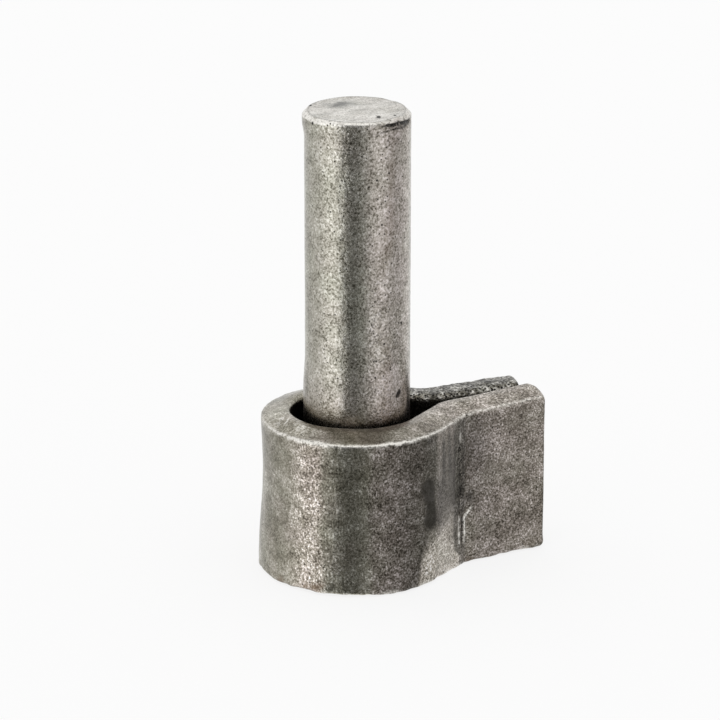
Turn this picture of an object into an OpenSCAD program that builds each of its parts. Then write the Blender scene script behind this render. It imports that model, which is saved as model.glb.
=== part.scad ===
/* [Pin] */
// Diameter of the hinge pin
pin_d = 16; // [12:0.5:20]
// Length of the pin that stands above the eye
pin_reach = 46; // [25:1:70]
// Bevel round the top end of the pin
pin_top_bevel = 0.5; // [0.2:0.1:1.5]
// Bevel round the foot of the pin, filled by the weld
pin_foot_bevel = 2.2; // [1:0.1:3]
// Height of the pin's foot above the bottom of the eye
pin_foot_rise = 2.6; // [2:0.1:5]

/* [Flat bar] */
// Width of the bar, which is the height of the eye and the leaves
bar_w = 25; // [16:1:40]
// Thickness of the bar
bar_t = 5.2; // [3.5:0.1:7]
// Rounding of the two edges on the side that faces the pin
inner_edge_r = 0.8; // [0.3:0.1:1.2]
// Width of the flat land on the bar's narrow sides, measured from the inner face
land_w = 2.1; // [1.6:0.1:3]
// Fall of the upper outer edge below the flat land on top
top_fall = 1.2; // [0.5:0.1:2]
// Rise of the lower outer edge above the flat land underneath
bottom_fall = 0.8; // [0.4:0.1:2]

/* [Eye] */
// Gap all round between the pin and the eye
eye_gap = 1.2; // [0.6:0.1:2]

/* [Front leaf] */
// Distance from the pin's axis to the plane of the front leaf's inner face
split_offset = 3.4; // [2:0.1:4.5]
// Distance from the pin's axis to the end of the front leaf
front_reach = 28; // [24:0.2:45]
// Slope at which the bar leaves the eye towards the front leaf, in degrees
front_slope = 30; // [24:1:36]
// Radius of the crease, on the outer face
crease_r = 1; // [0.6:0.1:3]

/* [Back leaf] */
// Distance from the pin's axis to the end of the back leaf
back_reach = 26.8; // [24:0.2:45]
// Slope at which the bar leaves the eye towards the back leaf, in degrees
back_slope = 62; // [50:1:63]
// Radius of the back bend, on the outer face
back_bend_r = 3; // [1.5:0.1:3.2]
// Angle at which the back leaf closes on the front leaf, in degrees
back_skew = 8; // [5:0.5:11]
// Gap left between the two leaves at the end of the back leaf
tip_gap = 0.3; // [0.2:0.1:1.5]

/* [Leaf ends] */
// Rounding of the leaves' end corners, seen from the side
corner_r = 1.5; // [0.5:0.1:4]

/* [Weld] */
// Swell of the weld below the foot of the pin
weld_swell = 1.2; // [0.4:0.1:1.6]
// Reach of the weld inwards over the foot of the pin
weld_toe = 0.7; // [0.3:0.1:2]

/* [Hidden] */
$fn = 96;
ARC_STEPS = 3;
CROWN_STEPS = 4;
BEAD_STEPS = 10;

// Straight stretches are a hair slimmer than the bends and run a little way into
// them, so that the bar is one clean solid
HAIR = 0.02;
RUN_IN = 0.2;

pin_r = pin_d / 2;
pin_foot_z = pin_foot_rise - bar_w;
eye_ri = pin_r + eye_gap;
eye_ro = eye_ri + bar_t;
front_tip = [front_reach, -split_offset];
back_tip = [back_reach, split_offset - tip_gap];

// Direction in which a stretch of bar runs, and the one its outer face looks to
function run(a) = [cos(a), sin(a)];
function out(a) = [sin(a), -cos(a)];

// Length of the straight neck between the eye and the bend before a leaf
function neck_len(slope, bend_r, skew, tip) =
    ((eye_ro + bend_r) * cos(slope - skew) - (tip * out(skew) + bar_t + bend_r))
    / sin(slope - skew);

// Centre of the bend before a leaf
function bend_at(slope, bend_r, skew, tip) =
    (eye_ro + bend_r) * out(slope) + neck_len(slope, bend_r, skew, tip) * run(slope);

// Points on a quarter of an ellipse, from angle a0 to angle a1
function arc(x, z, rx, rz, a0, a1, steps) =
    [for (i = [0 : steps]) let (a = a0 + (a1 - a0) * i / steps)
        [x + rx * cos(a), z + rz * sin(a)]];

// Section of the bar: x runs from the inner face, towards the pin, to the outer
// one, and y from the bottom up to the top at zero
module bar_section(slim = 0) {
    r = inner_edge_r;
    top = -slim;
    bottom = slim - bar_w;
    crown = bar_t - slim - land_w;
    polygon(concat(
        arc(slim + r, bottom + r, r, r, 270, 180, ARC_STEPS),
        arc(slim + r, top - r, r, r, 180, 90, ARC_STEPS),
        arc(land_w, top - top_fall, crown, top_fall, 90, 0, CROWN_STEPS),
        arc(land_w, bottom + bottom_fall, crown, bottom_fall, 0, -90, CROWN_STEPS)
    ));
}

// Straight stretch whose inner face runs from a point, between two distances
module straight(at, heading, from, to) {
    start = at + to * run(heading);
    translate([start[0], start[1], 0])
        rotate([0, 0, heading - 90])
            rotate([90, 0, 0])
                linear_extrude(height = to - from) bar_section(HAIR);
}

// Bend round a centre on the outer side of the bar
module outer_bend(centre, bend_r, from, to) {
    translate([centre[0], centre[1], 0])
        rotate([0, 0, 90 + from])
            rotate_extrude(angle = to - from)
                translate([bend_r + bar_t, 0]) mirror([1, 0]) bar_section();
}

// Cuts the two end corners of a leaf round
module round_corners(at, heading, length) {
    r = corner_r;
    side_view = concat(
        [[-2 * RUN_IN, -bar_w], [-2 * RUN_IN, 0]],
        arc(length - r, -r, r, r, 90, 0, ARC_STEPS),
        arc(length - r, r - bar_w, r, r, 0, -90, ARC_STEPS)
    );
    intersection() {
        children();
        translate([at[0], at[1], 0])
            rotate([0, 0, heading])
                translate([0, bar_t, 0])
                    rotate([90, 0, 0])
                        linear_extrude(height = 3 * bar_t) polygon(side_view);
    }
}

// Neck, bend and leaf on one side of the eye, drawn on the front side
module side(slope, bend_r, skew, tip) {
    neck = neck_len(slope, bend_r, skew, tip);
    centre = bend_at(slope, bend_r, skew, tip);
    leaf = (tip - centre) * run(skew);
    leaf_at = tip - leaf * run(skew);
    straight(eye_ri * out(slope), slope, -RUN_IN, neck + RUN_IN);
    outer_bend(centre, bend_r, skew, slope);
    round_corners(leaf_at, skew, leaf)
        straight(leaf_at, skew, -RUN_IN, leaf);
}

// One flat bar, rolled round the pin and closed into two leaves
module strap() {
    eye_from = 90 - back_slope;
    eye_to = 270 + front_slope;
    color("#75706a") {
        rotate([0, 0, eye_from])
            rotate_extrude(angle = eye_to - eye_from)
                translate([eye_ri, 0]) bar_section();
        side(front_slope, crease_r, 0, front_tip);
        mirror([0, 1, 0]) side(back_slope, back_bend_r, back_skew, back_tip);
    }
}

// Round bar, bevelled at the top and, for the weld, at the foot
module pin() {
    color("#908d84")
        rotate_extrude()
            polygon([
                [0, pin_foot_z],
                [pin_r - pin_foot_bevel, pin_foot_z],
                [pin_r, pin_foot_z + pin_foot_bevel],
                [pin_r, pin_reach - pin_top_bevel],
                [pin_r - pin_top_bevel, pin_reach],
                [0, pin_reach]
            ]);
}

// Ring of weld metal that fills the foot bevel and the gap to the eye beside it
module weld_bead() {
    toe_r = pin_r - pin_foot_bevel - weld_toe;
    half_w = (eye_ri - toe_r) / 2;
    color("#5b5753")
        rotate_extrude()
            polygon(concat(
                [[pin_r - pin_foot_bevel, pin_foot_z],
                    [pin_r, pin_foot_z + pin_foot_bevel],
                    [eye_ri, pin_foot_z + pin_foot_bevel]],
                arc(toe_r + half_w, pin_foot_z, half_w, weld_swell, 0, -180, BEAD_STEPS)
            ));
}

pin();
strap();
weld_bead();
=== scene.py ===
"""Looks of the weld-on hinge pin: a bright bar pin in an eye rolled from raw flat bar.

Lengths are in millimetres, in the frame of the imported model, until a mesh is made.
"""

import math

import bmesh
import bpy
import numpy as np
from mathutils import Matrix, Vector, noise


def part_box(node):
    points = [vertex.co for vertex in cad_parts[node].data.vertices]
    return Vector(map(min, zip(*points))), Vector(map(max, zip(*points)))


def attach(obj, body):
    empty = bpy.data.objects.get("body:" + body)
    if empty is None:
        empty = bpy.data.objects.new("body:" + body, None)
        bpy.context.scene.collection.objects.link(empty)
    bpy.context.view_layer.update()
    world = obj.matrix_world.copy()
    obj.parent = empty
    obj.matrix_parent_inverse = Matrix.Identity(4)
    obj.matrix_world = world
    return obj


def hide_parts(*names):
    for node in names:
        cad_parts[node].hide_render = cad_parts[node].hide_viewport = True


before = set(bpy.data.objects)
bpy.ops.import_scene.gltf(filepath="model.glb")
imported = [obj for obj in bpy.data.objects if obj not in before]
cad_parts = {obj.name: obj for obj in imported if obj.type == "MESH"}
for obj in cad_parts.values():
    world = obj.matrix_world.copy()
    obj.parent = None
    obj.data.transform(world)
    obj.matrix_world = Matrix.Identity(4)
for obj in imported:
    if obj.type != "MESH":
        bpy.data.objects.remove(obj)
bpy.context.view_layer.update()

MM = 0.001
pin_low, pin_high = (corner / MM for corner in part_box("pin"))
strap_low, strap_high = (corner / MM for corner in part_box("strap"))

# Main sizes, read from the frame
PIN_R = pin_high.x
PIN_TOP = pin_high.z
PIN_FOOT = pin_low.z
BAR_W = -strap_low.z
EYE_RO = -strap_low.y
FRONT_REACH = strap_high.x

# Sizes that the frame can't tell, as in the part's source
BAR_T = 5.2
EYE_RI = EYE_RO - BAR_T
SPLIT_OFFSET = 3.4
FRONT_SLOPE = 30
CREASE_R = 1
BACK_REACH = 26.8
BACK_SLOPE = 62
BACK_BEND_R = 3
BACK_SKEW = 8
TIP_GAP = 0.3
PIN_FOOT_BEVEL = 2.2
WELD_TOE_R = PIN_R - PIN_FOOT_BEVEL - 0.7
WELD_SWELL = 1.2

# The camera, from the photograph's perspective, and how far the middle of its view lies to
# the right of the target and above it
CAMERA_AZIMUTH = -29.5
CAMERA_ELEVATION = 18.38
CAMERA_DISTANCE = 549
CAMERA_LENS = 183.6
CAMERA_TARGET = Vector((0, 0, 5))
CAMERA_RIGHT = 0.50
CAMERA_UP = 2.31

# Azimuth of the camera as seen from the pin's axis
FACING = CAMERA_AZIMUTH - 90


# Small helpers on numbers

def smooth(x, low, high):
    """Goes smoothly from 0 at low to 1 at high."""
    t = np.clip((np.asarray(x, float) - low) / (high - low), 0, 1)
    return t * t * (3 - 2 * t)


def hump(x, centre, half):
    """Smooth hump, 1 at the centre and 0 a few halves away."""
    return np.exp(-((np.asarray(x, float) - centre) / half) ** 2)


def lumps(points, size, seed, stretch=(1, 1, 1)):
    """Smooth noise from about -1 to 1, with lumps of about that size."""
    shift = Vector((17.3 * seed, 5.1 * seed, 9.7 * seed))
    scaled = points.reshape(-1, 3) / (size * np.array(stretch))
    values = [noise.noise(Vector(p) + shift) for p in scaled]
    return np.array(values).reshape(points.shape[:-1])


def blob(points, centre, radii):
    """Soft spot, 1 at the centre and fading out over the three radii."""
    away = (points - np.array(centre)) / np.array(radii)
    return np.exp(-(away ** 2).sum(-1))


def polar(radius, azimuth, z):
    """Point at that azimuth, in degrees, round the pin's axis."""
    a = math.radians(azimuth)
    return (radius * math.cos(a), radius * math.sin(a), z)


def run(angle):
    """Unit vector at that angle, in degrees: the way in which a stretch of bar runs."""
    a = math.radians(angle)
    return np.array([math.cos(a), math.sin(a)])


def out(angle):
    """Unit vector to the right of it: the way to which the stretch's outer face looks."""
    a = math.radians(angle)
    return np.array([math.sin(a), -math.cos(a)])


def quarter_round(distance, radius):
    """How far a round edge has fallen away at a distance from the end."""
    return radius - np.sqrt(np.maximum(radius ** 2 - np.maximum(radius - distance, 0) ** 2, 0))


def steps(start, end, step):
    """Evenly spaced values from start up to, and without, end."""
    count = max(1, round(abs(end - start) / step))
    return [start + (end - start) * i / count for i in range(count)]


def rounded(corners, radii, arc_steps, edge_steps):
    """Closed outline whose corners are arcs and whose edges are divided evenly."""
    count = len(corners)
    arcs = []
    for i in range(count):
        before, at, after = (np.array(corners[(i + k) % count]) for k in (-1, 0, 1))
        a = (before - at) / np.linalg.norm(before - at)
        b = (after - at) / np.linalg.norm(after - at)
        half = math.acos(np.clip(a @ b, -1, 1)) / 2
        mid = (a + b) / np.linalg.norm(a + b)
        centre = at + mid * radii[i] / math.sin(half)
        first = at + a * radii[i] / math.tan(half) - centre
        last = at + b * radii[i] / math.tan(half) - centre
        n = arc_steps[i]
        sweep = math.pi - 2 * half
        arcs.append([
            centre + (first * math.sin(sweep * (1 - k / n)) + last * math.sin(sweep * k / n))
            / math.sin(sweep)
            for k in range(n + 1)
        ])
    outline = []
    for i in range(count):
        start, end = arcs[i][-1], arcs[(i + 1) % count][0]
        outline += arcs[i]
        outline += [start + (end - start) * k / edge_steps[i] for k in range(1, edge_steps[i])]
    return outline


# Meshes from grids of points

def grid_faces(rows, columns):
    """Faces of a grid of points, row after row, whose rows close on themselves."""
    faces = []
    for i in range(rows - 1):
        near, far = i * columns, (i + 1) * columns
        for j in range(columns):
            k = (j + 1) % columns
            faces.append((near + j, near + k, far + k, far + j))
    return faces


def flat_fields(**fields):
    """Looks of every point, as one flat list for each field that the material reads."""
    return {name: list(np.clip(values, 0, 3).reshape(-1)) for name, values in fields.items()}


def make_piece(name, points, faces, fields, material):
    """Adds a smooth mesh piece in millimetres, with its fields of looks."""
    mesh = bpy.data.meshes.new(name)
    mesh.from_pydata((np.asarray(points) * MM).tolist(), [], faces)
    shape = bmesh.new()
    shape.from_mesh(mesh)
    bmesh.ops.recalc_face_normals(shape, faces=shape.faces)
    shape.to_mesh(mesh)
    shape.free()
    for field, values in fields.items():
        attribute = mesh.attributes.new(field, "FLOAT", "POINT")
        attribute.data.foreach_set("value", np.asarray(values, np.float32))
    mesh.polygons.foreach_set("use_smooth", [True] * len(mesh.polygons))
    mesh.materials.append(material)
    piece = bpy.data.objects.new(name, mesh)
    bpy.context.scene.collection.objects.link(piece)
    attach(piece, "root")
    return piece


def grid_normals(grid):
    """Unit normals of a grid of points whose rows close on themselves."""
    along = np.gradient(grid, axis=0)
    across = np.roll(grid, -1, axis=1) - np.roll(grid, 1, axis=1)
    normals = np.cross(across, along)
    return normals / np.maximum(np.linalg.norm(normals, axis=-1, keepdims=True), 1e-9)


# Materials

class Tree:
    """Short way to add nodes: settings by name, inputs as values or as other sockets."""

    def __init__(self, owner):
        owner.use_nodes = True
        self.tree = owner.node_tree
        self.tree.nodes.clear()

    def add(self, kind, inputs=None, **settings):
        """Adds a node of that kind and returns it."""
        node = self.tree.nodes.new(kind)
        for name, value in settings.items():
            setattr(node, name, value)
        for key, value in (inputs or {}).items():
            if isinstance(value, bpy.types.NodeSocket):
                self.tree.links.new(value, node.inputs[key])
            else:
                node.inputs[key].default_value = value
        return node

    def math(self, operation, *values):
        """Result of one operation on numbers or sockets."""
        return self.add(
            "ShaderNodeMath", dict(enumerate(values)), operation=operation
        ).outputs[0]

    def field(self, name):
        """One of the piece's fields of looks."""
        return self.add("ShaderNodeAttribute", attribute_name=name).outputs["Fac"]

    def noise(self, place, size, detail, roughness=0.5):
        """Noise with lumps of about that size in millimetres, spread over 0 to 1."""
        raw = self.add(
            "ShaderNodeTexNoise",
            {"Vector": place, "Scale": 1 / size, "Detail": detail, "Roughness": roughness},
        ).outputs["Fac"]
        return self.span(raw, 0.27, 0.73, 0.0, 1.0)

    def cells(self, place, scale):
        """Cells round scattered points, about so many to the millimetre: each has a colour
        of its own, and every place a distance to the nearest point."""
        return self.add(
            "ShaderNodeTexVoronoi", {"Vector": place, "Scale": scale, "Randomness": 1.0}
        ).outputs

    def span(self, value, low, high, to_low, to_high):
        """Turns the range from low to high into another, and stays at its ends outside."""
        ends = {"From Min": low, "From Max": high, "To Min": to_low, "To Max": to_high}
        return self.add("ShaderNodeMapRange", {"Value": value, **ends}).outputs["Result"]

    def sway(self, value, weight, number):
        """Moves a number up or down by a value from 0 to 1, taken about its middle."""
        return self.math("MULTIPLY_ADD", self.math("SUBTRACT", value, 0.5), weight, number)

    def mix(self, factor, a, b):
        """Goes from colour a to colour b as the factor goes from 0 to 1."""
        # Of the node's inputs, 6 and 7 are its two colours
        node = self.add("ShaderNodeMix", data_type="RGBA")
        for socket, value in ((0, factor), (6, a), (7, b)):
            if isinstance(value, bpy.types.NodeSocket):
                self.tree.links.new(value, node.inputs[socket])
            elif socket:
                node.inputs[socket].default_value = (*value, 1)
            else:
                node.inputs[socket].default_value = value
        return node.outputs[2]

    def tint(self, colour, factor):
        """Multiplies a colour by a number."""
        return self.add(
            "ShaderNodeVectorMath", {0: colour, "Scale": factor}, operation="SCALE"
        ).outputs[0]

    def ramp(self, value, stops):
        """Colour of a value from 0 to 1, between the colours of the stops."""
        node = self.add("ShaderNodeValToRGB", {"Fac": value})
        elements = node.color_ramp.elements
        while len(elements) < len(stops):
            elements.new(0.5)
        for element, (position, colour) in zip(elements, stops):
            element.position = position
            element.color = (*colour, 1)
        return node.outputs["Color"]

    def place(self):
        """Position on the object, in millimetres."""
        at = self.add("ShaderNodeTexCoord").outputs["Object"]
        return self.add(
            "ShaderNodeVectorMath", {0: at, "Scale": 1 / MM}, operation="SCALE"
        ).outputs[0]

    def spot(self, place, centre, radius, edge):
        """1 within the radius of a point, and 0 beyond its edge."""
        away = self.add(
            "ShaderNodeVectorMath", {0: place, 1: centre}, operation="DISTANCE"
        ).outputs["Value"]
        return self.span(away, radius, radius + edge, 1.0, 0.0)


# Casts and colours that the three steels share
GREEN_CAST = (0.985, 1.0, 0.93)
PINK_CAST = (1.04, 0.97, 0.98)
RUST_BROWN = (0.15, 0.092, 0.055)
PIT_BLACK = (0.02, 0.018, 0.016)


def steel(name, stops, bare, contrast, grain_size, grain_bump, rough, spots=()):
    """Raw steel: a salt-and-pepper grain, soft mottling, bright worn edges and stains, and the
    painted highlights and painted shade that its fields also carry. The stops are the grain's
    colours, bare is that of worn metal and of the painted highlights, and spots are larger pits."""
    material = bpy.data.materials.new(name)
    tree = Tree(material)
    place = tree.place()
    wear, stain, rub, rust, warm, crumbs = (
        tree.field(f) for f in ("wear", "stain", "rub", "rust", "warm", "crumbs")
    )

    # The grain, and the slower changes over it
    relief = tree.noise(place, grain_size, 1.0)
    fine = tree.noise(place, grain_size * 0.5, 1.0)
    flecks = tree.cells(place, 0.85 / grain_size)["Color"]
    fleck = tree.add("ShaderNodeSeparateColor", {0: flecks}).outputs[0]
    grain = tree.sway(fleck, 0.6, relief)
    mottle = tree.noise(place, 2.4, 3.0, 0.6)
    cloud = tree.noise(place, 7.0, 2.0)
    hue = tree.noise(place, 4.5, 2.0)

    # Brightness, which is calmer where something has rubbed the surface smooth
    calm = tree.span(rub, 0.0, 1.0, 1.0, 0.30)
    speckle = tree.math("MULTIPLY", tree.math("SUBTRACT", grain, 0.5), calm)
    tone = tree.math("MULTIPLY_ADD", speckle, contrast, 0.5)
    tone = tree.sway(mottle, 0.44, tone)
    tone = tree.sway(cloud, 0.22, tone)
    colour = tree.ramp(tone, stops)
    # The tone field, which also holds painted light and painted shade
    colour = tree.tint(colour, tree.field("tone"))

    # A cast from greenish to pinkish, rust, worn metal with painted highlights, and stains with
    # painted shade
    cast = tree.mix(tree.sway(hue, 0.5, warm), GREEN_CAST, PINK_CAST)
    colour = tree.add(
        "ShaderNodeVectorMath", {0: colour, 1: cast}, operation="MULTIPLY"
    ).outputs[0]
    colour = tree.mix(tree.math("MULTIPLY", rust, 0.75), colour, RUST_BROWN)
    worn_and_highlit = tree.math("MULTIPLY", wear, tree.span(grain, 0.1, 0.75, 0.35, 1.0))
    colour = tree.mix(worn_and_highlit, colour, bare)
    colour = tree.tint(colour, tree.span(stain, 0.0, 1.0, 1.0, 0.25))
    colour = tree.tint(colour, tree.span(stain, 1.0, 2.0, 1.0, 0.12))

    # Scattered pits, crumbly holes and the larger pits
    pits = tree.span(tree.cells(place, 1.2)["Distance"], 0.11, 0.19, 1.0, 0.0)
    pits = tree.math("MULTIPLY", pits, tree.span(mottle, 0.35, 0.55, 0.0, 1.0))
    pits = tree.math("MULTIPLY", pits, calm)
    holes = tree.span(tree.cells(place, 2.3)["Distance"], 0.30, 0.50, 1.0, 0.0)
    holes = tree.math("MULTIPLY", holes, tree.span(fleck, 0.2, 0.5, 0.4, 1.0))
    holes = tree.math("MULTIPLY", holes, crumbs)
    pits = tree.math("MAXIMUM", pits, holes)
    for centre, radius in spots:
        spot = tree.spot(place, centre, radius * 0.6, radius * 0.6)
        pits = tree.math("MAXIMUM", pits, spot)
    colour = tree.mix(tree.math("MULTIPLY", pits, 0.94), colour, PIT_BLACK)

    # Gloss and relief
    roughness = tree.span(fine, 0.0, 1.0, rough - 0.07, rough + 0.09)
    roughness = tree.math("MULTIPLY_ADD", rub, -0.06, roughness)
    roughness = tree.math("MULTIPLY_ADD", stain, 0.06, roughness)
    roughness = tree.math("MULTIPLY_ADD", pits, 0.3, roughness)

    height = tree.math("MULTIPLY_ADD", fine, 0.35, relief)
    height = tree.math("MULTIPLY", height, calm)
    height = tree.math("MULTIPLY_ADD", mottle, 0.9, height)
    height = tree.math("MULTIPLY_ADD", pits, -1.5, height)
    height = tree.math("MULTIPLY_ADD", holes, -4.0, height)
    bump = tree.add(
        "ShaderNodeBump", {"Height": height, "Distance": grain_bump * MM, "Strength": 1.0}
    )
    finish = {"Base Color": colour, "Metallic": 1.0, "Roughness": roughness}
    shader = tree.add("ShaderNodeBsdfPrincipled", {**finish, "Normal": bump.outputs[0]})
    tree.add("ShaderNodeOutputMaterial", {"Surface": shader.outputs[0]})
    return material


# The strap: one flat bar, rolled round the pin and closed into two leaves

FRONT_TIP = np.array([FRONT_REACH, -SPLIT_OFFSET])
BACK_TIP = np.array([BACK_REACH, SPLIT_OFFSET - TIP_GAP])

# Distance between stations, and the finer one from so far before a bend to so far past it
STATION = 0.29
FINE_BEFORE = 2.8
FINE_PAST = 1.6
FRONT_FINE = 0.09
BACK_FINE = 0.25
BEND_STEP = 0.2

# Stands for a distance that no mark reaches
FAR = 60.0

# The bar's section: the radii of its corners, the inner flat land on its narrow sides, and
# how far the lower outer edge rises
INNER_R = 0.8
LAND_R = 2.0
RIM_R = 0.32
LOW_RIM_R = 0.5
LAND_W = 2.1
LOW_FALL = 0.30

# Steps in the section's corners and edges, from the lower inner corner round over the top,
# and the column that runs along the upper outer edge
FACE_STEPS = 80
ARC_STEPS = [6, 6, 4, 6, 6, 4]
EDGE_STEPS = [FACE_STEPS, 2, 9, FACE_STEPS, 9, 2]
RIM_COLUMN = sum(ARC_STEPS[:3]) + sum(EDGE_STEPS[:3]) + ARC_STEPS[3] // 2

# Rounding of the leaves' end corners, seen from the side, and of their end edges
END_CORNER_R = 0.7
END_EDGE_R = 0.3
END_STEPS = 7


def neck_len(slope, bend_r, skew, tip):
    """Length of the straight neck between the eye and the bend before a leaf."""
    return (
        (EYE_RO + bend_r) * math.cos(math.radians(slope - skew))
        - (tip @ out(skew) + BAR_T + bend_r)
    ) / math.sin(math.radians(slope - skew))


def bend_at(slope, bend_r, skew, tip):
    """Centre of the bend before a leaf."""
    neck = neck_len(slope, bend_r, skew, tip)
    return (EYE_RO + bend_r) * out(slope) + neck * run(slope)


LEAF_LENGTH = FRONT_REACH - bend_at(FRONT_SLOPE, CREASE_R, 0, FRONT_TIP)[0]
NECK_AND_CREASE = (
    neck_len(FRONT_SLOPE, CREASE_R, 0, FRONT_TIP) + math.radians(FRONT_SLOPE) * CREASE_R
)


def side_stations(slope, bend_r, skew, tip, fine):
    """Stations from the eye to the end of a leaf, drawn on the front side: the point on
    the inner face, the way outwards and the distance to the end."""
    neck = neck_len(slope, bend_r, skew, tip)
    centre = bend_at(slope, bend_r, skew, tip)
    leaf = (tip - centre) @ run(skew)
    leaf_at = tip - leaf * run(skew)
    bend = math.radians(slope - skew) * bend_r
    stations = []
    coarse = max(neck - FINE_BEFORE, 0)
    along = steps(0, coarse, STATION) if coarse else []
    for d in along + steps(coarse, neck, fine):
        at = EYE_RI * out(slope) + d * run(slope)
        stations.append((at, out(slope), leaf + bend + neck - d))
    bend_rows = max(8, round(bend / BEND_STEP))
    for share in steps(0, 1, 1 / bend_rows):
        angle = slope + (skew - slope) * share
        inner = centre - (bend_r + BAR_T) * out(angle)
        stations.append((inner, out(angle), leaf + bend * (1 - share)))
    turns = [math.pi / 2 * k / END_STEPS for k in range(END_STEPS + 1)]
    rounding = [leaf - END_CORNER_R * (1 - math.sin(turn)) for turn in turns]
    lengths = steps(0, FINE_PAST, fine) + steps(FINE_PAST, leaf - END_CORNER_R, STATION)
    for d in lengths + rounding:
        stations.append((leaf_at + d * run(skew), out(skew), leaf - d))
    return stations


def bar_outline(top_fall):
    """Section of the bar, from the lower inner edge round over the top: pairs of the
    distance from the inner face and the height."""
    corners = [
        (0, -BAR_W), (0, 0), (LAND_W, 0), (BAR_T, -top_fall),
        (BAR_T, LOW_FALL - BAR_W), (LAND_W, -BAR_W),
    ]
    radii = [INNER_R, INNER_R, LAND_R, RIM_R, LOW_RIM_R, LAND_R]
    return rounded(corners, radii, ARC_STEPS, EDGE_STEPS)


def strap_stations():
    """Stations of the strap, from the back leaf's end round the eye to the front leaf's: the
    point on the inner face, the way outwards, the side, which is -1 at the back, 0 on the
    eye and 1 in front, and the distance to the leaf's end."""
    front = side_stations(FRONT_SLOPE, CREASE_R, 0, FRONT_TIP, FRONT_FINE)
    back = side_stations(BACK_SLOPE, BACK_BEND_R, BACK_SKEW, BACK_TIP, BACK_FINE)
    flip = np.array([1, -1])
    rows = [(p * flip, o * flip, -1.0, end) for p, o, end in reversed(back)]
    start, stop = 90 - BACK_SLOPE, 270 + FRONT_SLOPE
    for angle in steps(start, stop, math.degrees(STATION / EYE_RO))[1:]:
        rows.append((EYE_RI * run(angle), run(angle), 0.0, FAR))
    rows += [(p, o, 1.0, end) for p, o, end in front]
    inner, outward, side, to_end = (np.array(values) for values in zip(*rows))
    return inner, outward, side[:, None], to_end[:, None]


# Columns of the tables of looks: the scale's brightness, which round the eye also holds painted
# light on the left-hand side and painted shade on the right-hand side, its warmth and smoothness,
# the wear and painted highlight of the rim, and the brightness, smoothness and warmth of the top
TONE_LIGHT_AND_SHADE, WARM, RUB, RIM_WEAR_AND_HIGHLIGHT, TOP_TONE, TOP_RUB, TOP_WARM = range(7)

# Looks round the eye by azimuth, along the front neck and leaf by distance past the crease,
# and of the whole back neck and leaf
EYE_LOOKS = (
    (28, 1.0, 0.3, 0.3, 0.5, 1.3, 0.5, 0.4), (150, 1.32, 0.2, 0.7, 0.2, 1.5, 0.6, 0.2),
    (194, 1.32, 0.25, 0.7, 0.9, 1.6, 0.5, 0.3), (203, 1.42, 0.6, 0.3, 1.0, 1.5, 0.5, 0.4),
    (208, 1.68, 0.8, 0.0, 1.0, 1.35, 0.5, 0.5), (217.5, 1.64, 0.75, 0.0, 1.0, 1.2, 0.6, 0.6),
    (221, 1.12, 0.2, 0.3, 1.0, 1.15, 0.7, 0.6), (232, 1.30, 0.0, 0.5, 0.8, 1.1, 0.8, 0.6),
    (246, 1.25, 0.05, 0.45, 0.9, 1.05, 0.9, 0.5), (250, 1.0, 0.7, 0.1, 0.9, 1.05, 0.9, 0.4),
    (262, 0.55, 0.9, 0.0, 1.0, 1.1, 0.7, 0.4), (272, 0.46, 0.9, 0.0, 0.8, 1.15, 0.6, 0.5),
    (284, 0.50, 0.6, 0.2, 0.6, 1.2, 0.5, 0.6), (300, 0.60, 0.4, 0.4, 0.5, 1.3, 0.4, 0.6),
)
LEAF_LOOKS = (
    (-9.0, 0.52, 0.4, 0.3, 0.6, 1.3, 0.4, 0.6), (-7.5, 0.64, 0.2, 0.45, 0.5, 1.35, 0.4, 0.6),
    (-5.5, 0.76, 0.2, 0.6, 0.4, 1.4, 0.3, 0.6), (-3.7, 0.64, 0.3, 0.65, 0.3, 1.4, 0.2, 0.6),
    (-3.1, 0.66, 0.5, 0.3, 0.3, 1.4, 0.1, 0.7), (-0.6, 0.66, 0.7, 0.0, 0.35, 1.4, 0.05, 0.7),
    (2, 0.70, 0.9, 0.1, 0.4, 1.45, 0.1, 0.7), (6, 1.0, 0.9, 0.15, 0.35, 1.45, 0.1, 0.7),
    (14, 1.08, 0.8, 0.15, 0.4, 1.4, 0.1, 0.7),
)
BACK_LOOKS = (1.0, 0.3, 0.2, 0.4, 0.9, 0.0, 0.2)

# The dark smudges on the eye's outer face, and a small stain above them: azimuth, height,
# and the reach sideways and up
MARK_R = 14.2
SMUDGES = ((288.5, -9.6, 1.5, 1.9), (290.5, -14.6, 1.4, 1.8), (291.5, -12.2, 0.8, 1.6))
STAIN = (289, -2.1, 0.7, 0.45)

# Looks of the leaves' cut ends
CAP_LOOKS = {
    "wear": 0.1, "stain": 0.1, "rub": 0.2, "rust": 0.0, "tone": 1.2, "warm": 0.5, "crumbs": 0.0,
}


def look(azimuth, side, past, column):
    """One column of the looks at points of the strap."""
    eye, leaf = np.array(EYE_LOOKS), np.array(LEAF_LOOKS)
    azimuth = np.broadcast_to(azimuth, past.shape)
    on_eye = np.interp(azimuth, eye[:, 0], eye[:, column + 1])
    on_leaf = np.interp(past, leaf[:, 0], leaf[:, column + 1])
    return np.where(side < 0, BACK_LOOKS[column], np.where(side > 0, on_leaf, on_eye))


def mark(base, azimuth, level, wide, tall):
    """Soft spot on the eye's outer face."""
    return blob(base, polar(MARK_R, azimuth, level), (wide, wide, tall))


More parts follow.
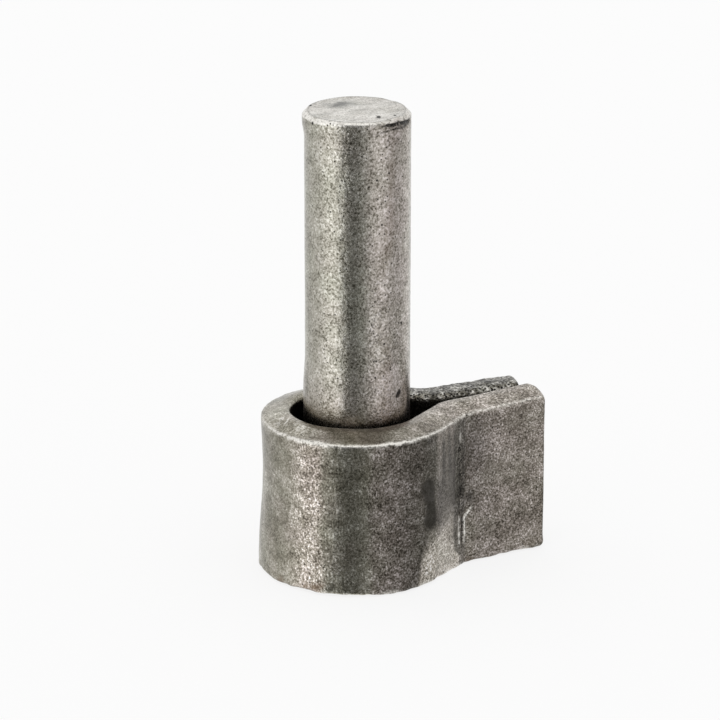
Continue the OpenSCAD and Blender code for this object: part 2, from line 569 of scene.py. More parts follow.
def add_cap(points, faces, fields, grid, row, columns):
    """Closes one end of the strap with a patch stretched over its four edges."""
    ring = np.roll(np.arange(columns), -ARC_STEPS[0])
    tall = FACE_STEPS
    wide = columns // 2 - tall
    left = ring[: tall + 1]
    top = ring[tall: tall + wide + 1]
    right = ring[tall + wide: 2 * tall + wide + 1][::-1]
    bottom = np.append(ring[2 * tall + wide:], ring[0])[::-1]
    index = np.zeros((tall + 1, wide + 1), int)
    first = row * columns
    index[:, 0], index[:, -1] = first + left, first + right
    index[-1, :], index[0, :] = first + top, first + bottom
    at = grid[row]
    for i in range(1, tall):
        v = i / tall
        for j in range(1, wide):
            u = j / wide
            spot = (
                (1 - u) * at[left[i]] + u * at[right[i]]
                + (1 - v) * at[bottom[j]] + v * at[top[j]]
                - (1 - u) * (1 - v) * at[left[0]] - u * (1 - v) * at[right[0]]
                - (1 - u) * v * at[left[-1]] - u * v * at[right[-1]]
            )
            index[i, j] = len(points)
            points.append(spot.tolist())
            for name, values in fields.items():
                values.append(CAP_LOOKS[name])
    for i in range(tall):
        for j in range(wide):
            faces.append(tuple(int(k) for k in (
                index[i, j], index[i, j + 1], index[i + 1, j + 1], index[i + 1, j]
            )))


def bare_strap(inner, outward, side, to_end, top_fall):
    """Depth in the bar and place of each point of the strap, before anything has worn it."""
    section = np.array([bar_outline(fall) for fall in top_fall[:, 0]])
    depth, height = section[..., 0], section[..., 1]

    # Rounded corners and edges at the ends of the leaves
    drop = quarter_round(to_end, END_CORNER_R)
    inset = quarter_round(to_end, END_EDGE_R)
    mid_depth, mid_height = BAR_T / 2, -BAR_W / 2
    depth = mid_depth + (depth - mid_depth) * (1 - inset / mid_depth)
    height = mid_height + (height - mid_height) * (1 + drop / mid_height)

    # The sheared ends aren't square: one bulges and one is cut askew
    share = depth / BAR_T
    bulge = np.where(side > 0, 1.8 * share * (1 - share), 1.2 * share)
    reach = smooth(to_end, 3.0, 0.0) * bulge
    heading = np.stack([-outward[:, 1], outward[:, 0]], -1)
    heading = np.where(side < 0, -heading, heading)
    plan = inner[:, None] + outward[:, None] * depth[..., None]
    plan = plan + heading[:, None] * reach[..., None]
    return depth, np.concatenate([plan, height[..., None]], -1)


def crease_marks(base, past, outer_face):
    """Marks in and beside the crease: the zone that the bending die dragged over, its
    streaks, the pitted line, the nick's slot and raised edges, and how the line wanders."""
    z = base[..., 2]
    drag_zone = smooth(past, -9.2, -7.8) * smooth(past, -3.2, -3.6) * outer_face
    streaks = lumps(base, 0.75, 11, (1, 1, 12)) * smooth(z, -13, -7)
    line_wander = 0.25 * lumps(base * (0, 0, 1), 2.5, 15)
    pitted_line = hump(past + line_wander, -1.8, 1.1) * outer_face
    pitted_line = pitted_line * smooth(z, -4.0, -5.6) * smooth(z, -17.5, -15.5)
    wander = 0.12 * lumps(base * (0, 0, 1), 1.2, 16)
    nick_span = smooth(z, -21.6, -20.9) * smooth(z, -16.6, -17.4) * outer_face
    slot = nick_span * hump(past + 0.5 * wander, -0.93, 0.2)
    ridges = nick_span * (hump(past + wander, -2.0, 0.28) + hump(past - wander, -0.35, 0.18))
    ridges = ridges * (0.8 + 1.1 * lumps(base, 0.8, 19))
    branch = hump(past + 0.7 - 0.93 * (z + 17.67), 0.0, 0.2) * outer_face
    branch = branch * smooth(z, -18.0, -17.5) * smooth(z, -15.7, -16.3)
    return drag_zone, streaks, pitted_line, slot, ridges + branch, wander


def scale_looks(base, azimuth, side, past, outer_face, drag_zone, streaks):
    """Brightness, warmth and smoothness of the mill scale, whose patches differ in all three, and
    the rough patch low on the neck. Round the eye the brightness also holds painted light on the
    left-hand side and painted shade on the right-hand side."""
    z = base[..., 2]
    wobble = 2.5 * lumps(base, 6.0, 26) + 1.2 * lumps(base, 1.3, 27)
    tone, warm, rub = (
        look(azimuth + wobble, side, past + 0.16 * wobble, column) for column in (TONE_LIGHT_AND_SHADE, WARM, RUB)
    )
    tone = tone * (1 + 0.12 * smooth(z, -14, -22) * smooth(azimuth, 225, 200))
    tone = tone * (1 + 0.9 * drag_zone * streaks)
    tone = tone * (1 - drag_zone * (0.28 * smooth(z, -3.5, -7.5) + 0.15 * hump(z, -11.5, 2.5)))
    tone = tone * (1 + 0.30 * drag_zone * smooth(z, -4.5, -1.5))
    tone = tone * (1 + 0.5 * hump(past, -8.3, 0.6) * smooth(z, -9.5, -8.0) * outer_face)
    tone = tone * (1 + 0.45 * hump(past, 0.0, 2.4) * smooth(z, -15.0, -18.0) * outer_face)
    warm = warm + 0.6 * drag_zone

    patch_top = np.interp(past, (-13.4, -12.0, -10.3, -3.6), (-25, -20.2, -16.8, -15.2))
    patch_top = patch_top + 1.0 * lumps(base, 2.0, 28)
    patch_side = -3.4 + 1.6 * smooth(z, -21.5, -23.0)
    patch = smooth(z, patch_top + 1.6, patch_top - 3.0) * smooth(past, -14.0, -12.0)
    patch = patch * smooth(past, patch_side + 0.3, patch_side - 0.4) * outer_face
    tone = tone + 1.4 * patch
    rub = rub * (1 - 0.8 * patch)
    warm = warm + (0.6 - warm) * patch

    top_face = smooth(z, -1.6, -0.7)
    tone = tone + (look(azimuth, side, past, TOP_TONE) - tone) * top_face
    rub = rub + (look(azimuth, side, past, TOP_RUB) - rub) * top_face
    warm = warm + (look(azimuth, side, past, TOP_WARM) - warm) * top_face
    return tone, warm, rub, patch


def make_strap(material):
    """The bar's section along all stations, then dented, worn and stained."""

    # Which part of the strap each station is on, and its distance past the crease
    inner, outward, side, to_end = strap_stations()
    azimuth = np.degrees(np.arctan2(inner[:, 1:], inner[:, :1])) % 360
    on_eye = side == 0
    round_eye = np.radians(azimuth - 270 - FRONT_SLOPE) * EYE_RO - NECK_AND_CREASE
    past = np.where(side > 0, LEAF_LENGTH - to_end, np.where(on_eye, round_eye, -FAR))
    front_leaf = smooth(past, -1.5, 1.5)
    back_leaf = np.where(side < 0, smooth(to_end, 18.5, 11.5), 0)
    back_rough = np.where(side < 0, smooth(to_end, 19.0, 15.0), 0)
    top_fall = 1.15 - 0.40 * front_leaf - 0.70 * back_leaf
    depth, base = bare_strap(inner, outward, side, to_end, top_fall)
    z = base[..., 2]
    past = past * np.ones_like(z)

    # Which face or edge each point is on, and the marks of the crease
    normals = grid_normals(base)
    to_outside = np.concatenate([outward, np.zeros((len(outward), 1))], -1)[:, None]
    if np.mean((normals * to_outside).sum(-1)[depth > BAR_T - 0.01]) < 0:
        normals = -normals
    outer_face = smooth(depth, BAR_T - 1.1, BAR_T - 0.1)
    lengths = np.linalg.norm(np.diff(base, axis=1, prepend=base[:, :1]), axis=-1)
    across = np.cumsum(lengths, axis=1)
    from_rim = across - across[:, RIM_COLUMN: RIM_COLUMN + 1]
    top_rim = hump(from_rim, 0, 0.5)
    low_rim = smooth(depth, BAR_T - 1.2, BAR_T - 0.2) * smooth(z, -22.6, -24.2)
    back_top = back_rough * smooth(z, -1.2, -0.5)
    drag_zone, streaks, pitted_line, slot, nick_edges, wander = crease_marks(
        base, past, outer_face
    )

    # The wall of the eye is a little hollow, and the hole is worn wide on one side
    round_only = smooth(azimuth, 299, 278) * smooth(azimuth, 29, 50) * on_eye
    hollow = round_only * outer_face * 0.28 * (1 - ((z + 12.6) / 12) ** 2)
    swing = np.cos(np.radians(azimuth - 150))
    widened = np.where(swing > 0, swing ** 2, 0) * 0.7
    widened = widened * smooth(depth, 2.4, 0.4) * smooth(z, -19, -8) * on_eye
    flare = 0.55 * hump(azimuth, 150, 32) * smooth(z, -8, -21) * outer_face * round_only
    grid = base + to_outside * (flare - hollow + widened)[..., None]

    # Rolled, sheared and hammered unevenness
    swell = 0.07 * lumps(base, 6.0, 1) + 0.03 * lumps(base, 2.2, 2) + 0.012 * lumps(base, 0.9, 3)
    burr = top_rim * (0.04 * lumps(base, 1.6, 4) + 0.05 * lumps(base, 0.6, 5))
    ragged = low_rim * (0.16 * lumps(base, 2.6, 6) + 0.08 * lumps(base, 0.9, 7))
    grid = grid + normals * (swell + burr + ragged)[..., None]
    dip = smooth(z, -20.5, -24) * outer_face
    grid[..., 2] += dip * (0.22 * lumps(base, 5.0, 8) - 0.22 * hump(past, -2, 5))
    grid[..., 2] += top_rim * 0.07 * lumps(base, 3.5, 9)
    leaf_rise = (0.3 * front_leaf + 0.35 * back_leaf) * smooth(to_end, 13, 0)
    grid[..., 2] += leaf_rise * smooth(z, -BAR_W, 0)

    # Drag marks, chips along the pitted line, the nick, and crumbs on the back leaf's top
    chips = pitted_line * (0.16 * lumps(base, 0.7, 12, (1, 1, 1.5)) - 0.05)
    nick = 0.16 * nick_edges - 0.36 * slot
    grid = grid + normals * (0.025 * drag_zone * streaks + chips + nick)[..., None]
    rough = 0.09 * lumps(base, 0.7, 13) + 0.06 * lumps(base, 1.8, 14)
    grid[..., 2] += back_top * (rough - 0.06)

    # Bright worn metal, and a painted highlight with its wear along the rounded upper outer edge
    rim_w = 0.25 + 0.09 * hump(azimuth, 215, 22) * on_eye
    rim_wear_and_highlight = hump(from_rim + 0.25 * lumps(base, 1.3, 17), -0.08, rim_w)
    breaks = smooth(lumps(base, 0.6, 20) + 0.5 * lumps(base, 3.0, 24), -0.75, -0.1)
    wear = 1.9 * rim_wear_and_highlight * breaks * look(azimuth, side, past, RIM_WEAR_AND_HIGHLIGHT)
    wear = wear + 1.6 * nick_edges
    wear = wear + 0.8 * outer_face * hump(past + wander, -1.85, 0.35) * hump(z, -4.0, 1.0)
    wear = wear + 0.5 * low_rim * smooth(lumps(base, 2.0, 21), 0.1, 0.4) * smooth(z, -23.9, -24.4)
    flecks = smooth(lumps(base, 0.6, 22) + 0.3 * lumps(base, 2.5, 29), 0.14, 0.28)
    wear = wear + 1.2 * back_top * flecks
    scuffs = smooth(lumps(base, 0.5, 47, (1.6, 1, 1)), 0.18, 0.32) * hump(azimuth, 184, 18)

    # Dark stains, and painted shade on the inner faces, which face the pin and each other across
    # narrow gaps
    inner_face_shade = smooth(depth, 0.6, 0.1) * smooth(z, -0.3, -1.2)
    stain = np.maximum(inner_face_shade, 1.6 * slot)
    hollows = smooth(lumps(base, 0.8, 25, (1, 1, 2)), -0.15, 0.2)
    stain = np.maximum(stain, 0.5 * pitted_line * hollows)
    scored = hump(past, -6.9, 0.4) * smooth(z, -8.8, -7.4) * smooth(z, -2.4, -3.6)
    border = hump(past, -3.5, 0.35) * smooth(z, -21.0, -19.5) * smooth(z, -2.0, -3.5)
    dark_patch = hump(past, 0.5, 0.75) * hump(z, -14.2, 1.0)
    corner = hump(past, 0.8, 2.4) * hump(z, -6.8, 4.0) * smooth(past, -0.6, 0.0)
    for shade, amount in ((scored, 0.6), (border, 0.5), (dark_patch, 0.9), (corner, 0.45)):
        stain = np.maximum(stain, amount * shade * outer_face)
    stain = np.maximum(stain, back_top * (0.2 + 0.6 * smooth(lumps(base, 1.6, 30), 0.0, 0.35)))
    smudge = sum(mark(base, *place) for place in SMUDGES)
    smudge = smooth(smudge + 0.15 * lumps(base, 0.7, 50), 0.22, 0.62)
    stain = np.maximum(stain, 0.78 * smudge)
    stain = np.maximum(stain, 0.7 * mark(base, *STAIN))

    # Crumbly holes, and how bright, warm, smooth and rusty the rest is
    crumbs = 1.6 * pitted_line * smooth(lumps(base, 1.6, 18), -0.6, 0.0) + 1.2 * back_top
    crumbs = crumbs + 0.28 * hump(azimuth, 211, 8) * on_eye * outer_face
    tone, warm, rub, patch = scale_looks(
        base, azimuth, side, past, outer_face, drag_zone, streaks
    )
    rub = np.maximum(rub, smudge)
    wear = wear + 0.12 * drag_zone + 0.15 * patch
    wear = wear + 1.1 * scuffs * smooth(z, -1.0, -0.4) * on_eye
    rust = smooth(lumps(base, 3.0, 23), 0.1, 0.6) * low_rim + 0.08 * drag_zone

    rows, columns = depth.shape
    points = grid.reshape(-1, 3).tolist()
    faces = grid_faces(rows, columns)
    fields = flat_fields(
        wear=wear, stain=stain, rub=rub, rust=rust, tone=tone, warm=warm, crumbs=crumbs
    )
    for row in (0, rows - 1):
        add_cap(points, faces, fields, grid, row, columns)
    piece = make_piece("rolled_strap", points, faces, fields, material)
    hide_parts("strap")
    return piece


# The pin: a bar turned at the top, with a lip and a few pits

# Width of the bevel round the top before it is made uneven, and the reach below and inside
# it in which the rows are finer
PIN_BEVEL = 0.7
TOP_BAND = 2
TOP_BORDER = 0.6

# Azimuth, height and radius of the larger pits in the pin's wall
PIN_PITS = [
    (288.8, 3.55, 0.34), (290.6, 3.85, 0.50), (292.4, 4.02, 0.50), (271.0, 12.2, 0.20),
    (261.5, 9.7, 0.17), (260.4, 7.2, 0.16), (278.9, 8.0, 0.16), (295.9, 14.7, 0.26),
    (290.9, 14.9, 0.15), (262.3, 37.3, 0.20), (276.9, 38.1, 0.18), (253.5, 36.4, 0.16),
    (187.5, 45.15, 0.26), (270.5, 45.25, 0.16), (275.0, 45.2, 0.20), (279.5, 45.15, 0.24),
    (283.0, 45.1, 0.26), (268.0, 30.5, 0.17), (246.0, 41.0, 0.18), (241.0, 26.0, 0.15),
    (272.0, 34.0, 0.14),
]

# Place and radius of the pits in its top
TOP_PITS = [
    (0.94, -4.85, 0.26), (0.78, -5.12, 0.36), (0.62, -5.4, 0.38), (0.46, -5.68, 0.36),
    (3.32, -5.4, 0.24), (3.15, -5.8, 0.26), (-4.75, 5.6, 0.36), (-4.9, 5.3, 0.36),
]


def pin_profile():
    """Radius and height of each row, from the middle of the foot to the middle of the top."""
    foot_r, bevel_z, bevel_r = PIN_R - PIN_FOOT_BEVEL, PIN_TOP - PIN_BEVEL, PIN_R - PIN_BEVEL
    band_z, border_r = PIN_TOP - TOP_BAND, bevel_r - TOP_BORDER
    profile = [(r, PIN_FOOT) for r in steps(0.4, foot_r, 0.9)]
    profile += [
        (PIN_R - PIN_FOOT_BEVEL * (1 - s), PIN_FOOT + PIN_FOOT_BEVEL * s) for s in steps(0, 1, 0.2)
    ]
    profile += [(PIN_R, z) for z in steps(PIN_FOOT + PIN_FOOT_BEVEL, -2, 0.8)]
    profile += [(PIN_R, z) for z in steps(-2, band_z, 0.26)]
    profile += [(PIN_R, z) for z in steps(band_z, bevel_z, 0.08)]
    profile += [
        (PIN_R - PIN_BEVEL * s, PIN_TOP - PIN_BEVEL * (1 - s)) for s in steps(0, 1, 0.14)
    ]
    profile += [(r, PIN_TOP) for r in steps(bevel_r, border_r, 0.06)]
    profile += [(r, PIN_TOP) for r in steps(border_r, 0.3, 0.28)]
    return np.array(profile + [(0.3, PIN_TOP)])


def uneven_bevel(radius, z, bevel_w):
    """Radius and height of the pin's points once its top bevel has another width."""
    share = (PIN_R - radius) / PIN_BEVEL
    sloped = (share < 1) & (z > PIN_TOP - PIN_BEVEL - 0.01)
    stretch = (TOP_BAND - bevel_w) / (TOP_BAND - PIN_BEVEL)
    near_top = (share <= 0) & (z > PIN_TOP - TOP_BAND) & ~sloped
    z = np.where(near_top, PIN_TOP - TOP_BAND + (z - PIN_TOP + TOP_BAND) * stretch, z)
    flat = (share >= 1) & (z > PIN_TOP - 0.01)
    radius = np.where(flat, radius * (PIN_R - bevel_w) / (PIN_R - PIN_BEVEL), radius)
    radius = np.where(sloped, PIN_R - bevel_w * share, radius)
    z = np.where(sloped, PIN_TOP - bevel_w * (1 - share), z)
    return radius, z


def make_pin(material):
    """The pin's profile all round its axis, then dented, worn and stained."""
    profile = pin_profile()
    rows, columns = len(profile), 240
    turn = np.linspace(0, 2 * math.pi, columns, endpoint=False)
    radius = profile[:, :1] * np.ones(columns)
    z = profile[:, 1:] * np.ones(columns)
    azimuth = np.degrees(turn)[None] * np.ones_like(z)

    # The bevel round the top is wider at the sides than in front
    bevel_w = 0.28 + 0.42 * np.cos(np.radians(azimuth - 150)) ** 2
    radius, z = uneven_bevel(radius, z, bevel_w)
    grid = np.stack([radius * np.cos(turn), radius * np.sin(turn), z], -1)
    base = grid.copy()
    on_wall = smooth(radius, PIN_R - 0.3, PIN_R - 0.05)
    on_top = smooth(z, PIN_TOP - 0.3, PIN_TOP - 0.02)

    # The wall: a soft lip under the top, the crack below it and the slimmer left side
    swell = 0.035 * lumps(base, 5.0, 31, (1, 1, 2.5)) + 0.012 * lumps(base, 1.6, 32)
    lip = hump(azimuth, 287, 34) * hump(z, PIN_TOP - 0.6, 0.35) * on_wall
    groove_z = PIN_TOP - 0.95 + np.interp(azimuth, (275, 290, 311), (0.26, 0.1, -0.3))
    groove_z = groove_z + 0.2 * lumps(base, 1.6, 33)
    groove_w = 0.20 + 0.14 * smooth(azimuth, 268, 300) + 0.14 * lumps(base, 0.8, 48)
    groove = smooth(azimuth, 264, 282) * smooth(azimuth, 324, 314) * hump(z, groove_z, groove_w)
    strand = hump(azimuth, 288, 22) * hump(z, groove_z - 0.75 + 0.012 * (azimuth - 288), 0.18)
    radial = on_wall * (swell + 0.02 * lumps(base, 0.7, 34)) + 0.10 * lip
    radial = radial - on_wall * (0.45 * groove + 0.25 * strand)
    slim = hump(azimuth, 150, 38) * smooth(z, 44.5, 42) * smooth(z, 3, 9)
    radial = radial - 0.3 * on_wall * slim
    grid[..., 0] += radial * np.cos(turn)
    grid[..., 1] += radial * np.sin(turn)

    # The top: dished, with a ledge along part of its border
    dish = on_top * (0.05 * lumps(base, 4.0, 35) + 0.02 * lumps(base, 1.2, 36))
    ledge = 0.06 - 0.10 * smooth(lumps(base, 3.0, 37), 0, 0.5)
    ledge = on_top * smooth(radius, 6.4, 7.4) * ledge
    grid[..., 2] += dish - 0.06 * on_top + ledge

    # Bright worn metal on the top, and painted highlights along the bevel and in a line just below
    # it
    wear = on_top * (0.56 + 0.4 * lumps(base, 1.3, 40, (2, 1, 1)))
    bevel_highlight = smooth(radius, PIN_R - bevel_w - 0.1, PIN_R - bevel_w + 0.1)
    bevel_highlight = bevel_highlight * smooth(z, PIN_TOP - bevel_w - 0.15, PIN_TOP - bevel_w + 0.05)
    bevel_highlight = bevel_highlight * smooth(lumps(base, 2.5, 38), -0.7, -0.1)
    bevel_highlight = bevel_highlight * np.interp(azimuth, (140, 180, 245, 262, 300), (0.5, 1.2, 1.2, 0.4, 0.4))
    wear = np.maximum(wear, 1.4 * bevel_highlight)
    lip_highlight = hump(z, PIN_TOP - bevel_w - 0.14, 0.14) * on_wall
    lip_highlight = lip_highlight * smooth(lumps(base, 1.6, 51), -0.6, 0.0)
    wear = wear + 1.6 * lip_highlight * np.interp(azimuth, (175, 190, 236, 250, 275), (0, 1, 1, 0.4, 0))
    wear = wear + 0.4 * hump(azimuth, 307, 3) * hump(z, 6.1, 1.6) * on_wall

    # Dark stains in the crack and on the top, a darkening towards the foot, and painted shade in a
    # line along the top edge of the bevel
    broken = smooth(lumps(base, 0.7, 52), -0.3, 0.1)
    dark_strand = 0.6 * strand * smooth(lumps(base, 1.0, 44), -0.5, 0.0)
    stain = 2.0 * on_wall * (groove * broken + dark_strand)
    smear = 1.1 * blob(base, (-0.7, 4.3, PIN_TOP), (2.1, 2.0, 1.0))
    smear = smear * smooth(lumps(base, 1.2, 43), -0.9, 0.3)
    smear = smear + 0.3 * smooth(lumps(base, 1.1, 45, (3, 1, 1)), 0.15, 0.5)
    stain = stain + 0.95 * smear * on_top + 0.35 * on_wall * smooth(z, 2.4, -0.8)
    # Painted shade: a dark line along the top edge of the bevel
    bevel_edge_shade_w = 0.10 + 0.12 * hump(azimuth, 240, 50)
    bevel_edge_shade = hump(radius, PIN_R - bevel_w - 0.18, bevel_edge_shade_w) * on_top
    bevel_edge_shade = bevel_edge_shade * smooth(lumps(base, 1.8, 49), -0.9, -0.3)
    stain = np.maximum(stain, 0.6 * bevel_edge_shade)

    # Small pits, rust, and the wall's brightness and warmth
    crumbs = 1.4 * hump(azimuth, 280, 16) * hump(z, groove_z, 0.4) * on_wall
    peppered = smooth(azimuth, 246, 258) * smooth(azimuth, 302, 286) * smooth(z, 32, 14)
    peppered = peppered + 0.8 * hump(azimuth, 228, 14) * smooth(z, 31, 38)
    peppered = peppered * smooth(z, -0.5, 2.0) * (1 + lumps(base, 2.2, 53))
    crumbs = crumbs + 0.36 * peppered * on_wall
    rust = 0.30 * hump(azimuth, 277, 9) * smooth(lumps(base, 3.0, 39, (1, 1, 3)), -0.2, 0.4)
    rust = rust * on_wall + 0.36 * on_wall * smooth(z, 5.0, -0.5)
    rub = 0.5 * on_top + 0.35 * on_wall * smooth(azimuth, 205, 195)
    around = azimuth + 4 * lumps(base, 3.0, 46, (1, 1, 2))
    warm = np.interp(around, (150, 225, 246, 256, 290, 330), (0.15, 0.2, 0.2, 0.75, 0.85, 0.4))
    warm = warm + (0.5 - 0.8 * smear - warm) * on_top
    warm = warm + 0.3 * on_wall * smooth(z, 12, 2)
    # Painted light: the strip of the wall that faces the camera, where it reflects the tent's dark
    # slot, is made lighter, more so low down
    slot_band_painted_light = hump(around, 237, 9) * (0.13 + 0.22 * smooth(z, 12, 3))
    tone = 1 + on_wall * (slot_band_painted_light - 0.04 * hump(azimuth, 279, 7))

    points = grid.reshape(-1, 3).tolist()
    faces = grid_faces(rows, columns)
    fields = flat_fields(
        wear=wear, stain=stain, rub=rub, rust=rust, tone=tone, warm=warm, crumbs=crumbs
    )
    for row in (0, rows - 1):
        hub, ring = len(points), row * columns
        points.append([0.0, 0.0, float(profile[row, 1])])
        for values in fields.values():
            values.append(values[ring])
        faces += [(hub, ring + j, ring + (j + 1) % columns) for j in range(columns)]
    piece = make_piece("bar_pin", points, faces, fields, material)
    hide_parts("pin")
    return piece


# The weld: a ring of beads under the foot of the pin

WELD_RIPPLES = 26


def make_weld(material):
    """The ring of weld metal, rippled where it bulges below the pin's foot."""
    columns, rows = 36, 300
    half = (EYE_RI - WELD_TOE_R) / 2
    seat = PIN_FOOT + PIN_FOOT_BEVEL
    outline = [(PIN_R - PIN_FOOT_BEVEL, PIN_FOOT + 0.02), (PIN_R, seat), (EYE_RI, seat)]
    arc_points = columns - len(outline)
    for k in range(arc_points):
        a = -math.pi * k / (arc_points - 1)
        at_r = WELD_TOE_R + half + half * math.cos(a)
        outline.append((at_r, PIN_FOOT + WELD_SWELL * math.sin(a)))
    outline = np.array(outline)
    turn = np.linspace(0, 2 * math.pi, rows, endpoint=False)
    radius = outline[:, 0][None] * np.ones((rows, 1))
    z = outline[:, 1][None] * np.ones((rows, 1))
    below = smooth(z, PIN_FOOT - 0.05, PIN_FOOT - 0.5)
    lag = 2.2 * ((radius - WELD_TOE_R - half) / half) ** 2
    ripple = np.sin(turn[:, None] * WELD_RIPPLES + lag)
    base = np.stack([radius * np.cos(turn)[:, None], radius * np.sin(turn)[:, None], z], -1)
    grid = base.copy()
    grid[..., 2] -= below * (0.16 * np.abs(ripple) - 0.10 + 0.12 * lumps(base, 2.0, 41))
    # Painted highlight on the crests of the ripples, and painted shade in the hollows between them
    fields = flat_fields(
        wear=0.35 * below * smooth(np.abs(ripple), 0.75, 1.0),
        stain=0.5 * smooth(np.abs(ripple), 0.25, 0.0) * below,
        rub=0 * z,
        tone=1 + 0 * z,
        warm=0.5 + 0 * z,
        crumbs=0 * z,
        rust=0.4 * smooth(lumps(base, 2.5, 42), 0.1, 0.5),
    )
    count = columns * rows
    faces = [tuple(k % count for k in face) for face in grid_faces(rows + 1, columns)]
    piece = make_piece("weld_ring", grid.reshape(-1, 3), faces, fields, material)
    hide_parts("weld_bead")
    return piece


# The studio: a pale floor, a white surround and a light tent with a dark slot

# Levels of the light tent by degrees to the right of the camera
TENT_LEVELS = (
    (-180, 1.00), (-140, 0.75), (-113, 0.82), (-86, 0.92), (-70, 1.25), (-44, 1.42),
    (-33, 0.80), (-25, 0.24), (-16, 0.13), (-2, 0.16), (8, 0.30), (22, 0.50), (38, 0.95),
    (60, 0.92), (82, 0.62), (105, 0.60), (130, 0.85), (180, 1.0),
)

# Heights of the tent's rows, in metres, and how far each is blended to the plain level
TENT_ROWS = ((-1.6, 0), (0.12, 0), (0.4, 1), (1.1, 1))
TENT_PLAIN = 0.9
TENT_R = 1.0


def make_floor():
    """Pale paper that keeps the object's shadow, and is clear when seen from below."""
    material = bpy.data.materials.new("floor_paper")
    tree = Tree(material)
    paper = tree.add("ShaderNodeBsdfDiffuse", {"Color": (0.95, 0.95, 0.95, 1)})
    white = tree.add("ShaderNodeEmission", {"Color": (1, 1, 1, 1), "Strength": 1.0})
    seen = tree.add("ShaderNodeLightPath")
    share = tree.math("MULTIPLY", seen.outputs["Is Camera Ray"], 0.82)
    lit = tree.add("ShaderNodeMixShader", {0: share, 1: paper.outputs[0], 2: white.outputs[0]})
    clear = tree.add("ShaderNodeBsdfTransparent")
    under = tree.add("ShaderNodeNewGeometry").outputs["Backfacing"]
    both = tree.add("ShaderNodeMixShader", {0: under, 1: lit.outputs[0], 2: clear.outputs[0]})
    tree.add("ShaderNodeOutputMaterial", {"Surface": both.outputs[0]})

    half, z = 4.0, -BAR_W * MM
    corners = [(-half, -half, z), (half, -half, z), (half, half, z), (-half, half, z)]
    mesh = bpy.data.meshes.new("floor")
    mesh.from_pydata(corners, [], [(0, 1, 2, 3)])
    mesh.materials.append(material)
    floor = bpy.data.objects.new("floor", mesh)
    bpy.context.scene.collection.objects.link(floor)
    floor.visible_glossy = False
    floor.visible_shadow = False


def make_tent():
    """Cloth round the object that the camera doesn't see, dark in one slot."""
    material = bpy.data.materials.new("tent_cloth")
    tree = Tree(material)
    glow = tree.add("ShaderNodeEmission", {"Strength": tree.field("level")})
    tree.add("ShaderNodeOutputMaterial", {"Surface": glow.outputs[0]})

    columns = 180
    angles = np.linspace(-180, 180, columns, endpoint=False)
    points = [polar(TENT_R, FACING + a, z) for z, _ in TENT_ROWS for a in angles]
    stops, levels = zip(*TENT_LEVELS)
    slotted = np.interp(angles, stops, levels)
    rows = [slotted + (TENT_PLAIN - slotted) * plain for _, plain in TENT_ROWS]
    mesh = bpy.data.meshes.new("light_tent")
    mesh.from_pydata(points, [], grid_faces(len(TENT_ROWS), columns))
    level = mesh.attributes.new("level", "FLOAT", "POINT")
    level.data.foreach_set("value", np.concatenate(rows).astype(np.float32))
    mesh.materials.append(material)
    tent = bpy.data.objects.new("light_tent", mesh)
    bpy.context.scene.collection.objects.link(tent)
    tent.visible_camera = False
    tent.visible_shadow = False


def make_surround():
    """White world, which lights the object a little less brightly than it looks."""
    world = bpy.data.worlds.new("white_studio")
    bpy.context.scene.world = world
    tree = Tree(world)
    white = tree.add("ShaderNodeBackground", {"Color": (1, 1, 1, 1), "Strength": 1.0})
    soft = tree.add("ShaderNodeBackground", {"Color": (1, 1, 1, 1), "Strength": 0.9})
    seen = tree.add("ShaderNodeLightPath")
    direct = tree.math("MAXIMUM", seen.outputs["Is Camera Ray"], seen.outputs["Is Glossy Ray"])
    direct = tree.math("MAXIMUM", direct, seen.outputs["Is Transmission Ray"])
    both = tree.add("ShaderNodeMixShader", {0: direct, 1: soft.outputs[0], 2: white.outputs[0]})
    tree.add("ShaderNodeOutputWorld", {"Surface": both.outputs[0]})


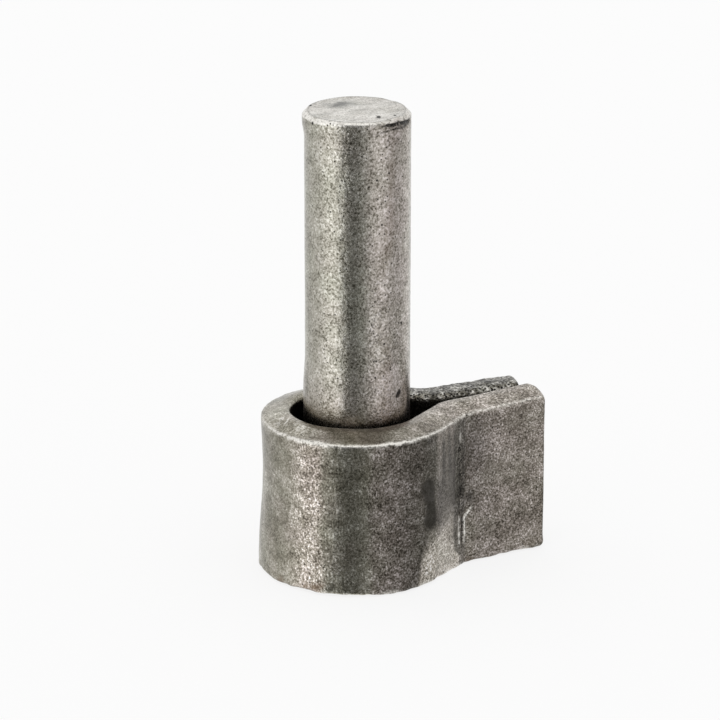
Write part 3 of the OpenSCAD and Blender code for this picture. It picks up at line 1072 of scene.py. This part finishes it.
def make_camera():
    """Camera at the photograph's viewing angle."""
    a, e = math.radians(CAMERA_AZIMUTH), math.radians(CAMERA_ELEVATION)
    back = Vector((math.sin(a) * math.cos(e), -math.cos(a) * math.cos(e), math.sin(e)))
    right = Vector((math.cos(a), math.sin(a), 0))
    up = back.cross(right)
    camera = bpy.data.objects.new("camera", bpy.data.cameras.new("camera"))
    camera.data.sensor_width = 36
    camera.data.lens = CAMERA_LENS
    middle = CAMERA_TARGET + right * CAMERA_RIGHT + up * CAMERA_UP
    camera.location = (middle + back * CAMERA_DISTANCE) * MM
    camera.rotation_mode = "QUATERNION"
    camera.rotation_quaternion = (-back).to_track_quat("-Z", "Y")
    camera.data.clip_start = 0.01
    camera.data.clip_end = 20
    bpy.context.scene.collection.objects.link(camera)
    bpy.context.scene.camera = camera


make_camera()
make_surround()
make_tent()
make_floor()

raw_steel = steel(
    "raw_bar_steel",
    [(0.0, (0.048, 0.043, 0.034)), (0.45, (0.200, 0.187, 0.158)), (0.75, (0.36, 0.343, 0.314)),
     (1.0, (0.66, 0.64, 0.61))],
    bare=(0.84, 0.815, 0.76),
    contrast=0.82, grain_size=0.26, grain_bump=0.014, rough=0.30,
)
pin_steel = steel(
    "bright_bar_steel",
    [(0.0, (0.12, 0.112, 0.090)), (0.42, (0.39, 0.374, 0.334)), (0.75, (0.55, 0.533, 0.494)),
     (1.0, (0.76, 0.745, 0.715))],
    bare=(0.92, 0.895, 0.84),
    contrast=0.80, grain_size=0.28, grain_bump=0.010, rough=0.24,
    spots=[(polar(PIN_R, azimuth, z), r) for azimuth, z, r in PIN_PITS]
    + [((x, y, PIN_TOP), r) for x, y, r in TOP_PITS],
)
weld_steel = steel(
    "weld_metal",
    [(0.0, (0.03, 0.03, 0.03)), (0.5, (0.13, 0.125, 0.12)), (0.8, (0.25, 0.245, 0.24)),
     (1.0, (0.45, 0.44, 0.43))],
    bare=(0.70, 0.68, 0.64),
    contrast=0.8, grain_size=0.5, grain_bump=0.05, rough=0.38,
)
make_strap(raw_steel)
make_pin(pin_steel)
make_weld(weld_steel)

bpy.context.scene.view_settings.view_transform = "Standard"
